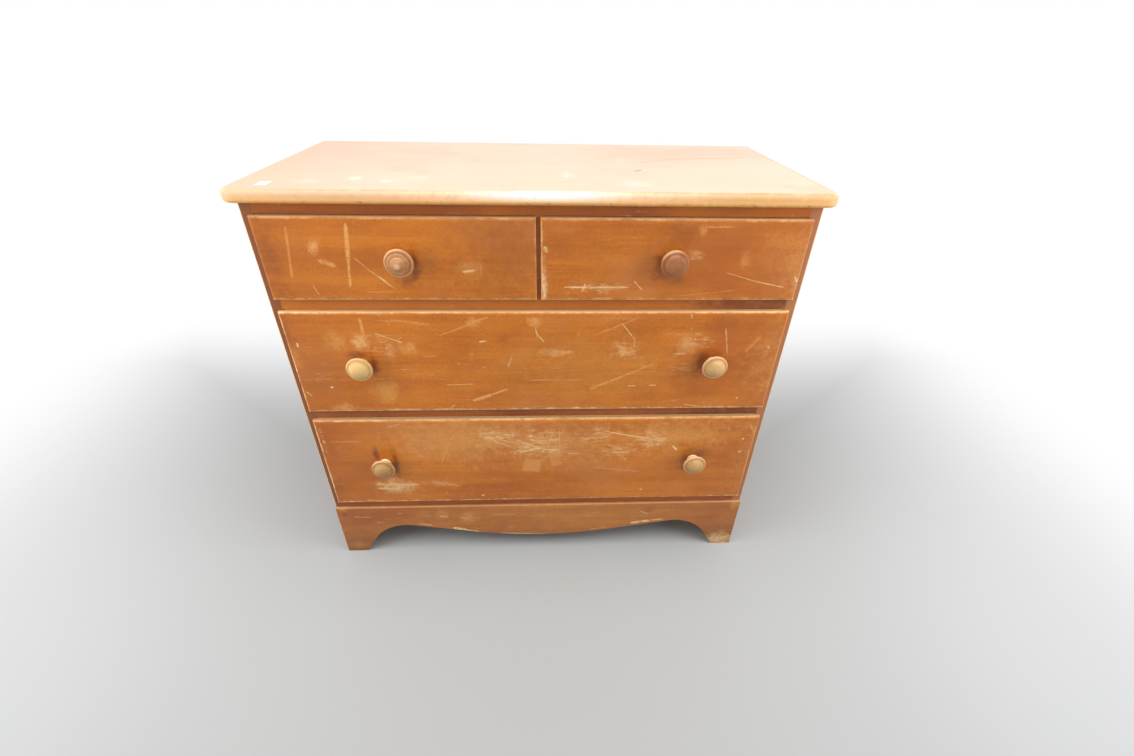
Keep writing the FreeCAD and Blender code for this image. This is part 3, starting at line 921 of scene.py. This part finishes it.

# The drawer fronts: the marks, the seed of the figure, how far the edges are worn in from the left, the
# right, the foot and the head, in millimetres, how bare they are, how scuffed the face is, how dark the
# painted shade at the left and right ends is, and the tone of the painted shade on the ledge
FRONTS = (
    ("upper_left_front", UPPER_LEFT_MARKS, 1.3, (0.4, 1.8, 4.6, 1.6), 0.7, 0.16, (0.6, 0.0), LEDGE_SHADE_TAN),
    ("upper_right_front", UPPER_RIGHT_MARKS, 4.9, (3.0, 0.3, 4.4, 1.8), 0.75, 0.12, (0.0, 0.8), LEDGE_SHADE_TAN),
    ("middle_front", MIDDLE_MARKS, 8.2, (3.1, 1.0, 6.6, 2.2), 0.9, 0.45, (0.5, 0.0), LEDGE_SHADE_TAN),
    ("lower_front", LOWER_MARKS, 12.6, (4.0, 1.5, 6.6, 2.0), 0.78, 0.45, (0.3, 0.0), LEDGE_SHADE_DEEP),
)


def paint_front(name, marks, seed, worn_in, bare, scuffed, ends, ledge):
    """One drawer front, as its row in FRONTS says."""
    low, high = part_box(name)
    left, right, foot, head = [millimetres / 1000 for millimetres in worn_in]
    finish = stained(name + "_stain", "X", seed)
    near = finish.eased(finish.depth, low.y + WEAR_DEPTH[0], low.y + WEAR_DEPTH[1], 1.0, WEAR_BEHIND)
    thinned_in = left * THINNED_LEFT, right * THINNED_RIGHT, THINNED_FOOT, THINNED_HEAD
    thinned = finish.border(low, high, *thinned_in, THINNED_RAGGED)
    finish.add_rub(finish.times(thinned, near, THINNED_SHARE))
    finish.add_wear(finish.times(finish.border(low, high, left, right, foot, head), near, bare))
    finish.add_wear(finish.scuffs(scuffed))
    mark_up(finish, low.y, marks)
    # Painted shade on the front's upward ledge
    finish.shade_ledge(low, high, ledge)
    # Painted shade on the front's rounded left and right ends
    start, end = END_SHADE_REACH
    finish.tint(finish.eased(finish.across, low.x + start, low.x + end, ends[0], 0.0), UMBER_AND_SHADE)
    finish.tint(finish.eased(finish.across, high.x - end, high.x - start, 0.0, ends[1]), UMBER_AND_SHADE)
    core = finish.eased(finish.depth, low.y + LIP_DEPTH - STAIN_STOPS, low.y + LIP_DEPTH)
    finish.tint(core, BARE_PALE)
    finish.keep_marks(finish.outside(core))
    paint(finish.finish(0.44, coat=0.12), name)


def paint_fronts():
    for row in FRONTS:
        paint_front(*row)


# The dark of a side's front edge fades between these depths, in metres
SIDE_EDGE_DEPTH = (0.0005, 0.002)


def paint_sides():
    """The two side panels, worn only on their outer faces, with the right one's front edge paler."""
    low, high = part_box("side_panel_left")
    sides = stained("side_stain", "Z", 2.2, "side")
    outer = sides.eased(sides.aside, -low.x - 0.0014, -low.x - 0.0002)
    thinned = sides.border(low, high, left=0.005, right=0.004, bottom=0.008, top=0.001)
    sides.add_rub(sides.times(thinned, outer))
    bared = sides.border(low, high, left=0.0014, right=0.0010, bottom=0.003, top=0.0005)
    sides.add_wear(sides.times(bared, outer))
    edge = sides.eased(sides.depth, low.y + SIDE_EDGE_DEPTH[0], low.y + SIDE_EDGE_DEPTH[1], 0.85, 0.0)
    sides.tint(edge, SIDE_EDGE)
    sides.tint(sides.times(edge, sides.eased(sides.across, -0.1, 0.1)), SIDE_EDGE_PALE)
    sides.add_wear(sides.scuffs(0.2))
    paint(sides.finish(0.44, coat=0.15), "side_panel_left", "side_panel_right")


# The rails between the fronts: the finish, its pale and deep tones and the one it drifts to, its seed and
# the pieces
# The top rail, under the slab, and the lower rails, between the fronts, take darker tones partly as painted
# shade
RAILS = (
    ("rail_stain", STAIN_DEEP, STAIN_SHADE, STAIN_PALE, 5.5, ("top_rail", "drawer_divider")),
    ("middle_rail_stain", RAIL_PALE, STAIN_DEEP, STAIN_PALE, 15.5, ("upper_rail",)),
    ("low_rail_stain_and_shade", LOW_RAIL_PALE, LOW_RAIL_DEEP, STAIN_DEEP, 25.5, ("lower_rail", "bottom_rail")),
)


def paint_rails():
    for name, pale, deep, drifted, seed, pieces in RAILS:
        rails = Finish(name, pale, deep, "X", 1.0, seed)
        rails.tint(rails.drift(3.0, 0.45, 0.7, 0.4, 3.0), drifted)
        rails.add_wear(rails.scuffs(0.4))
        mark_up(rails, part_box(pieces[0])[0].y, RAIL_MARKS)
        paint(rails.finish(0.48, coat=0.1), *pieces)


# How high grime reaches up the apron, and how far under its top a band of painted shade, which dulls
# its lit rounded top edge, begins and is full, in metres
APRON_GRIME_HEIGHT = 0.10
APRON_SHADE_BAND = (0.004, 0.001)


def paint_apron():
    low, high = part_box("base_apron")
    apron = stained("apron_stain", "X", 7.7, "front", APRON_PALE, APRON_DEEP)
    thinned = apron.border(low, high, left=0.0008, right=0.0008, bottom=0.0025, top=0.0010)
    apron.add_rub(apron.times(thinned, 0.6))
    apron.add_wear(apron.scuffs(0.45))
    apron.tint(apron.eased(apron.height, 0.0, APRON_GRIME_HEIGHT, 0.45, 0.0), GRIME)
    # Painted shade on the apron's upward ledge, and a band of it along its rounded top edge
    apron.shade_ledge(low, high, APRON_LEDGE_SHADE)
    start, end = APRON_SHADE_BAND
    apron.tint(apron.eased(apron.height, high.z - start, high.z - end, 0.0, 0.7), APRON_LEDGE_SHADE)
    mark_up(apron, low.y, APRON_MARKS)
    paint(apron.finish(0.46, coat=0.12), "base_apron")


# The slab's paper label, with nothing on it: left, right, front and back, in metres, Y from the case's
# front, and how soft its edge is
LABEL_X = (-0.463, -0.445)
LABEL_Y = (0.014, 0.041)
LABEL_SOFT = 0.0006

# Places on the slab's top, in pixels: pale spots, a rosy arc that a wet pot left, and one dark nick. The
# arc's and the nick's widths are in metres.
SLAB_SPOTS = (
    (350, 175.5, 361, 180.5, 0.55),
    (381, 179, 393, 183, 0.5),
    (296, 178, 318, 184, 0.25),
    (408, 175, 428, 180, 0.35),
    (556, 172, 578, 178, 0.5),
    (612, 180, 660, 188, 0.3),
)
SLAB_ARC = ((641, 163), (654, 160.8), (672, 159.4), (694, 158.6), (718, 158.2), (745, 158.0))
ARC_WIDTH = 0.008
SLAB_NICK = ((635, 171.5), (641, 169.8))
NICK_WIDTH = 0.005

# Where along the slab's front edge the painted highlight lies, how far that reaches each way, and how far
# the rosy tone reaches in from the left end and the worn rim from the edges, in metres
SHEEN_X = 0.01
SHEEN_REACH = 0.18
ROSE_REACH = 0.30
RIM_REACH = 0.012


def paint_slab():
    """The pale slab, its paleness partly a painted sheen: its rim sandy at the left, with a painted
    highlight in the middle and honey at the right, with gold, olive and grime low down on it."""
    low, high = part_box("top_slab")
    top = Finish("slab_stain", TOP_PALE, TOP_DEEP, "X", 0.55, 3.1, "top")

    def under(high_at, low_at, share):
        """share from the slab's foot up to low_at over it, and gone at the height high_at."""
        return top.eased(top.height, low.z + low_at, high_at, share, 0.0)

    def seen(pixel):
        return seen_at(pixel, 2, high.z)

    top.tint(top.drift(4.0, 0.48, 0.7, 0.5, 2.0), TOP_ROSE)
    top.tint(top.eased(top.across, low.x, low.x + ROSE_REACH, 0.7, 0.0), TOP_ROSE)
    rim = top.border(low, high, RIM_REACH, RIM_REACH, RIM_REACH, 0.004, 0.8)
    top.tint(rim, EDGE_PEACH)
    # A painted highlight along the middle of the front edge
    beside = apart(top.tree, top.across, SHEEN_X)
    forward = top.eased(top.depth, low.y + 0.03, low.y + 0.08, 1.0, 0.0)
    painted_sheen = top.times(top.eased(beside, 0.0, SHEEN_REACH, 1.0, 0.0), forward)
    mottled = top.times(top.speckle(70.0, 5.0, 0.75, 0.46, 0.66, 0.0, 0.4), top.outside(painted_sheen))
    # The rim's tones and its painted highlight, each with where along it or how far down it shows
    for mask, tone in (
        (top.eased(top.across, SHEEN_X - 0.34, SHEEN_X - 0.12, 0.8, 0.0), EDGE_SAND),
        (top.eased(top.across, SHEEN_X + 0.10, SHEEN_X + 0.36, 0.0, 0.95), EDGE_HONEY),
        (painted_sheen, EDGE_HIGHLIGHT),
        (mottled, EDGE_TAN),
        (under(high.z - 0.008, 0.003, 1.0), EDGE_GOLD),
        (under(low.z + 0.008, 0.003, 0.6), EDGE_OLIVE),
    ):
        top.tint(top.times(mask, rim), tone)
    end = top.eased(top.aside, high.x - 0.03, high.x - 0.004, 0.0, 0.8)
    below = top.eased(top.height, high.z - 0.007, high.z - 0.002, 1.0, 0.0)
    top.tint(top.times(end, below), EDGE_TAN)
    speckled = top.speckle(150.0, 4.0, 0.7, 0.56, 0.68, 0.0, 0.7)
    top.tint(top.times(speckled, under(low.z + 0.009, 0.002, 1.0)), GRIME)
    chipped = top.border(low, high, left=0.007, right=0.007, bottom=0.008, top=0.002, ragged=1.6)
    top.add_wear(top.times(chipped, top.eased(top.ragged, 0.54, 0.66, 0.0, 0.3)))
    top.add_wear(top.scuffs(0.35))
    for left, back, right, front, strength in SLAB_SPOTS:
        top.tint(top.patch(seen((left, back)), seen((right, front)), strength), SPOT_PALE)
    for start, end in zip(SLAB_ARC, SLAB_ARC[1:]):
        top.tint(top.stroke(seen(start), seen(end), ARC_WIDTH, 0.5), TOP_RING)
    top.tint(top.stroke(*map(seen, SLAB_NICK), NICK_WIDTH, 1.0), UMBER_AND_SHADE)
    corners = [Vector((x, CASE_FRONT + y, 0.0)) for x, y in zip(LABEL_X, LABEL_Y)]
    upward = top.eased(top.height, high.z - 0.002, high.z - 0.001)
    material = top.finish(0.34, 0.5, coat=0.4, coat_rough=0.2)
    top.tint(top.times(top.box(*corners, LABEL_SOFT), upward), LABEL_PAPER)
    top.tree.links.new(top.colour, top.shader.inputs["Base Color"])
    paint(material, "top_slab")


def bare_wood(name, along, seed, contrast=1.0):
    finish = Finish(name, BARE_PALE, BARE_DEEP, along, contrast, seed)
    finish.tint(finish.drift(6.0, 0.5, 0.75, 0.5, seed), BARE_DEEP)
    return finish.finish(0.64)


def paint_inside():
    """Bare maple, its grain along each piece, and plywood for the bottoms and the back."""
    lengthwise = bare_wood("bare_maple", "Y", 9.4)
    crosswise = bare_wood("bare_maple_across", "X", 6.1)
    veneer = bare_wood("plywood_veneer", "X", 2.9, 1.3)
    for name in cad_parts:
        if any(word in name for word in ("_side_", "runner", "kicker", "guide")):
            paint(lengthwise, name)
        elif name.endswith("_back") or name.startswith("rear_rail") or name == "base_glue_blocks":
            paint(crosswise, name)
        elif name.endswith("_bottom") or name == "back_panel":
            paint(veneer, name)


def paint_screws():
    """Dull zinc, which is returned for the nails."""
    steel, tree, shader = new_material("zinc_steel")
    shader.inputs["Metallic"].default_value = 1.0
    dull = noise(tree, own_place(tree), 700.0, 3.0)
    tree.links.new(blend(tree, dull, STEEL_PALE, STEEL_DEEP), shader.inputs["Base Color"])
    tree.links.new(ranged(tree, dull, 0.2, 0.8, 0.3, 0.55), shader.inputs["Roughness"])
    paint(steel, *[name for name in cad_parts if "screw" in name])
    return steel


# Nails round the back: their heads' radius and how far they stand out, how far in from the panel's edge
# they are, in metres, and how many there are along it and up it
NAIL_RADIUS = 0.0032
NAIL_PROUD = 0.0012
NAIL_INSET = 0.006
NAILS_ACROSS = 7
NAILS_UP = 5


def add_nails(steel):
    """Round nails in the edges of the back panel, as one mesh."""
    low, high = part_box("back_panel")
    left, right = low.x + NAIL_INSET, high.x - NAIL_INSET
    foot, head = low.z + NAIL_INSET, high.z - NAIL_INSET
    places = []
    for i in range(NAILS_ACROSS):
        x = left + (right - left) * i / (NAILS_ACROSS - 1)
        places += [(x, foot), (x, head)]
    for i in range(1, NAILS_UP):
        z = foot + (head - foot) * i / NAILS_UP
        places += [(left, z), (right, z)]
    bpy.ops.object.select_all(action="DESELECT")
    ball = {"segments": 12, "ring_count": 8, "radius": NAIL_RADIUS, "scale": (1, NAIL_PROUD / NAIL_RADIUS, 1)}
    bpy.ops.mesh.primitive_uv_sphere_add(location=(places[0][0], high.y, places[0][1]), **ball)
    nails = bpy.context.object
    nails.name = "back_nails"
    bpy.ops.object.transform_apply(location=True, rotation=True, scale=True)
    bpy.ops.object.mode_set(mode="EDIT")
    for x, z in places[1:]:
        bpy.ops.mesh.primitive_uv_sphere_add(location=(x, high.y, z), **ball)
    bpy.ops.object.mode_set(mode="OBJECT")
    bpy.ops.object.shade_smooth()
    nails.data.materials.append(steel)
    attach(nails, "case")


# Knobs

# The turned form, as the radius and the distance from the front, each a share of the knob's own. The
# first ring is the foot, and closely spaced rings keep a crisp edge through the subdivision. All the
# knobs share the stem and the rim. The upper left one steps up to a bead, the upper right one swells to
# a ball, and the others are domed.
STEM_RINGS = (
    (0.50, 0.00),
    (0.50, 0.05),
    (0.485, 0.07),
    (0.39, 0.13),
    (0.345, 0.22),
    (0.36, 0.31),
    (0.46, 0.40),
    (0.70, 0.46),
    (0.95, 0.505),
    (1.00, 0.54),
    (1.01, 0.58),
    (1.00, 0.62),
    (0.95, 0.652),
    (0.87, 0.655),
    (0.805, 0.65),
    (0.775, 0.665),
    (0.765, 0.72),
)
STEPPED_RINGS = STEM_RINGS + (
    (0.74, 0.76),
    (0.68, 0.785),
    (0.60, 0.79),
    (0.54, 0.785),
    (0.50, 0.80),
    (0.47, 0.84),
    (0.42, 0.865),
    (0.38, 0.87),
    (0.35, 0.89),
    (0.335, 0.94),
    (0.28, 0.98),
    (0.17, 0.995),
    (0.08, 1.00),
)
BALL_RINGS = STEM_RINGS[:-4] + (
    (0.90, 0.662),
    (0.865, 0.668),
    (0.845, 0.69),
    (0.83, 0.74),
    (0.78, 0.81),
    (0.68, 0.88),
    (0.53, 0.94),
    (0.34, 0.98),
    (0.18, 0.995),
    (0.08, 1.00),
)
DOMED_RINGS = STEM_RINGS + (
    (0.72, 0.785),
    (0.63, 0.85),
    (0.50, 0.91),
    (0.34, 0.96),
    (0.20, 0.985),
    (0.08, 1.00),
)
KNOB_FORMS = {"upper_left_knob": STEPPED_RINGS, "upper_right_knob": BALL_RINGS}
KNOB_SIDES = 48

# Pale and deep tones of the wood, then the rim's tone and how much of it shows, then the groove's, and
# how far the collar at the foot is made paler
KNOB_TONES = {
    "upper_left_knob": ((200, 142, 88), (136, 82, 42), (196, 142, 94), 0.7, (136, 80, 42), 0.6, 0.0),
    "upper_right_knob": ((170, 104, 54), (124, 70, 32), (160, 98, 54), 0.6, (118, 66, 34), 0.4, 0.0),
    "middle_knob_left": ((216, 182, 122), (186, 144, 82), (206, 168, 104), 0.5, (176, 132, 70), 0.4, 0.2),
    "middle_knob_right": ((204, 168, 112), (170, 128, 76), (210, 158, 116), 0.8, (164, 114, 66), 0.4, 0.6),
    "lower_knob_left": ((188, 148, 92), (146, 106, 58), (182, 138, 84), 0.6, (130, 90, 48), 0.4, 0.85),
    "lower_knob_right": ((194, 156, 100), (160, 118, 68), (204, 164, 112), 0.7, (164, 118, 68), 0.4, 0.7),
}

# Where these lie, in shares of a knob's radius from its axis: the rim's inner edge, the groove's middle,
# how far the groove reaches each way, and the bead's outer edge
RIM_EDGE = (0.84, 0.92)
GROOVE_AT = 0.79
GROOVE_REACH = (0.015, 0.07)
BEAD_EDGE = (0.14, 0.26)

# The side of a rim that takes a painted highlight, up and a little to the left, and how far out that
# starts, in shares of the radius
HIGHLIGHT_SIDE = (-0.4, 0.0, 0.92)
HIGHLIGHT_REACH = (0.45, 0.95)


def turn_knob(node_name, rings):
    """A knob on the lathe: one ring drawn out and scaled, step by step, from the foot to the nose."""
    low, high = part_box(node_name)
    centre = (low + high) / 2
    radius, reach = (high.x - low.x) / 2, high.y - low.y
    bpy.ops.object.select_all(action="DESELECT")
    bpy.ops.mesh.primitive_circle_add(
        vertices=KNOB_SIDES,
        radius=radius * rings[0][0],
        fill_type="NGON",
        location=(centre.x, high.y, centre.z),
        rotation=(math.pi / 2, 0, 0),
    )
    knob = bpy.context.object
    knob.name = "turned_" + node_name
    bpy.ops.object.transform_apply(location=True, rotation=True, scale=True)
    bpy.ops.object.mode_set(mode="EDIT")
    bpy.ops.mesh.select_all(action="SELECT")
    bpy.ops.mesh.duplicate()
    for (out, along), (next_out, next_along) in zip(rings, rings[1:]):
        step = (0, -(next_along - along) * reach, 0)
        bpy.ops.mesh.extrude_region_move(TRANSFORM_OT_translate={"value": step})
        pivot = (centre.x, high.y - next_along * reach, centre.z)
        scale = next_out / out
        bpy.ops.transform.resize(value=(scale, 1, scale), center_override=pivot)
    bpy.ops.mesh.select_all(action="SELECT")
    bpy.ops.mesh.remove_doubles(threshold=0.00001)
    bpy.ops.mesh.normals_make_consistent(inside=False)
    bpy.ops.object.mode_set(mode="OBJECT")
    smooth = knob.modifiers.new("smooth", "SUBSURF")
    smooth.levels = smooth.render_levels = 1
    bpy.ops.object.modifier_apply(modifier=smooth.name)
    bpy.ops.object.shade_smooth()
    return knob, centre, radius


def knob_finish(name, centre, radius):
    """The worn wood of a turned knob, its rim with a painted highlight, and the stain left in its groove."""
    pale, deep, rim, rim_share, groove, groove_share, collar_share = KNOB_TONES[name]
    finish = Finish(name + "_wood", srgb(*pale), srgb(*deep), "Y", 1.1, centre.x * 9)
    tree = finish.tree
    links = {"Place": finish.place, "Centre": tuple(centre), "Radius": radius}
    turning = use(tree, TURNING, links)
    finish.tint(finish.eased(turning["Rings"], 0.42, 0.66, 0.0, 0.45), srgb(*deep))
    finish.tint(finish.eased(turning["Out"], *RIM_EDGE, 0.0, rim_share), srgb(*rim))
    # Painted highlight on the upper left of the rim
    offset = vector_maths(tree, "SUBTRACT", finish.place, tuple(centre))
    upward = maths(tree, "DIVIDE", vector_maths(tree, "DOT_PRODUCT", offset, HIGHLIGHT_SIDE), radius)
    highlighted = finish.eased(upward, *HIGHLIGHT_REACH, 0.0, 0.6)
    finish.tint(finish.times(highlighted, finish.eased(turning["Out"], *RIM_EDGE)), RIM_HIGHLIGHT)
    beside = apart(tree, turning["Out"], GROOVE_AT)
    finish.tint(finish.eased(beside, *GROOVE_REACH, groove_share, 0.0), srgb(*groove))
    collar = finish.eased(finish.depth, centre.y - 0.001, centre.y + 0.003, 0.0, collar_share)
    finish.tint(collar, COLLAR_PALE)
    # Painted highlight on the stepped knob's bead
    if KNOB_FORMS.get(name) is STEPPED_RINGS:
        finish.tint(finish.eased(turning["Out"], *BEAD_EDGE, 0.6, 0.0), RIM_HIGHLIGHT)
    finish.add_wear(finish.eased(finish.ragged, 0.60, 0.72, 0.0, 0.45))
    worn = srgb(*[min(255, tone + 26) for tone in pale])
    gloss = 0.5 if name.startswith("upper") else 0.12
    return finish.finish(0.38, 0.52, worn, coat=gloss, coat_rough=0.16)


def add_knobs():
    for name in KNOB_TONES:
        knob, centre, radius = turn_knob(name, KNOB_FORMS.get(name, DOMED_RINGS))
        knob.data.materials.append(knob_finish(name, centre, radius))
        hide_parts(name)
        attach(knob, name.split("_knob")[0] + "_drawer")


# Stage and light

FLOOR_SIZE = 14.0
FLOOR_MIDDLE = (0.0, -0.4, 0.0)

# The floor fades to white between these distances, in metres: behind the origin, to either side of it, and
# away from the floor's middle
FADES_BEHIND = (0.1, 1.1)
FADES_ASIDE = (0.6, 1.9)
FADES_AWAY = (1.1, 2.2)

WHITE = (1, 1, 1, 1)
FILL_GREY = (0.50, 0.50, 0.50, 1)

# The kinds of light ray to which the far floor, and the world, show as white
FLOOR_RAYS = ("Is Camera Ray", "Is Glossy Ray")
WORLD_RAYS = FLOOR_RAYS + ("Is Transmission Ray",)


def show_white(tree, share, rays, shader, white_kind, output):
    """To these kinds of light ray, white shows in place of the shader, by share."""
    path = node(tree, "ShaderNodeLightPath", {}).outputs
    seen = joined(tree, "MAXIMUM", [path[ray] for ray in rays])
    white = node(tree, white_kind, {"Color": WHITE, "Strength": 1.0}).outputs[0]
    links = {0: maths(tree, "MULTIPLY", share, seen), 1: shader.outputs[0], 2: white}
    mixed = node(tree, "ShaderNodeMixShader", links).outputs[0]
    tree.links.new(mixed, tree.nodes[output].inputs["Surface"])


def add_floor():
    bpy.ops.object.select_all(action="DESELECT")
    bpy.ops.mesh.primitive_plane_add(size=FLOOR_SIZE, location=(0, 0, 0))
    floor = bpy.context.object
    floor.name = "floor"
    material, tree, shader = new_material("floor")
    shader.inputs["Base Color"].default_value = FLOOR_PALE
    shader.inputs["Roughness"].default_value = 0.7
    place = own_place(tree)
    across, depth, _ = split(tree, place)
    behind = ranged(tree, depth, *FADES_BEHIND)
    aside = ranged(tree, maths(tree, "ABSOLUTE", across), *FADES_ASIDE)
    offset = vector_maths(tree, "SUBTRACT", place, FLOOR_MIDDLE)
    away = ranged(tree, vector_maths(tree, "LENGTH", offset), *FADES_AWAY)
    faded = joined(tree, "MAXIMUM", (behind, aside, away))
    show_white(tree, faded, FLOOR_RAYS, shader, "ShaderNodeEmission", "Material Output")
    floor.data.materials.append(material)


def add_world():
    """A grey fill light, seen and mirrored as white."""
    world = bpy.data.worlds.new("studio")
    bpy.context.scene.world = world
    world.use_nodes = True
    tree = world.node_tree
    fill = tree.nodes["Background"]
    fill.inputs["Color"].default_value = FILL_GREY
    show_white(tree, 1.0, WORLD_RAYS, fill, "ShaderNodeBackground", "World Output")


def add_light(name, place, target, width, height, watts):
    light = bpy.data.lights.new(name, "AREA")
    light.shape = "RECTANGLE"
    light.size, light.size_y = width, height
    light.energy = watts
    holder = bpy.data.objects.new(name, light)
    holder.location = place
    aim = Vector(target) - Vector(place)
    holder.rotation_euler = aim.to_track_quat("-Z", "Y").to_euler()
    bpy.context.scene.collection.objects.link(holder)
    return holder


def add_lights():
    """A broad ceiling light, and a glow from either wall that no gloss mirrors."""
    add_light("ceiling", (0.0, -0.8, 2.9), (0.0, -0.2, 0.4), width=3.2, height=2.2, watts=48.0)
    for name, side in (("left_wall", -1), ("right_wall", 1)):
        place, target = (side * 1.2, -0.6, 1.0), (-side * 0.1, -0.2, 0.5)
        glow = add_light(name, place, target, width=0.8, height=0.9, watts=13.0)
        glow.visible_glossy = False


add_camera()
paint_fronts()
paint_sides()
paint_rails()
paint_apron()
paint_slab()
paint_inside()
add_nails(paint_screws())
add_knobs()
add_floor()
add_world()
add_lights()
bpy.context.scene.view_settings.view_transform = "Standard"
